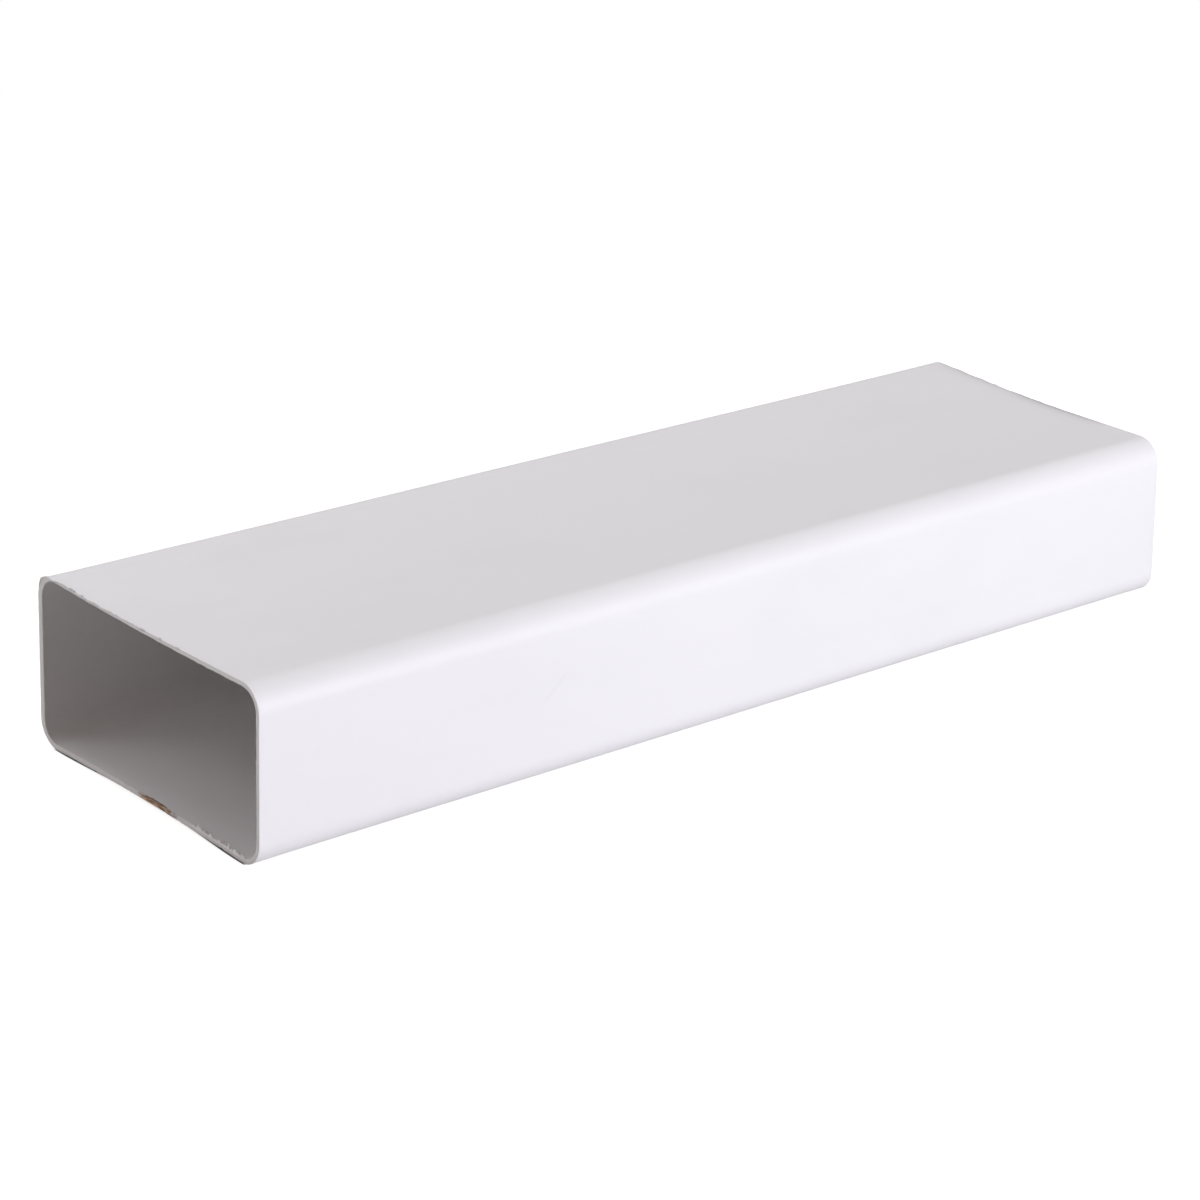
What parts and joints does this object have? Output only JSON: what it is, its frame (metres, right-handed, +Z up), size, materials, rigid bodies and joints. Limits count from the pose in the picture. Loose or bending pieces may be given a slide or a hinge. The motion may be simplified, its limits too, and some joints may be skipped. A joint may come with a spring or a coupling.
{
  "type": "flat channel duct",
  "caption": "Straight flat channel ventilation duct: thin-walled rectangular plastic tube with rounded long corners, sawn square and open at both ends, for push-on connectors.",
  "frame": {"origin": "on the floor under the middle of the duct, level with its two lower corners", "axes": "+X along the duct, +Y across its width, +Z up through its wide walls"},
  "size_m": [0.36, 0.11, 0.054],
  "materials": {
    "white_pvc": "satin"
  },
  "bodies": {
    "root": {"duct": "white_pvc"}
  },
  "joints": []
}
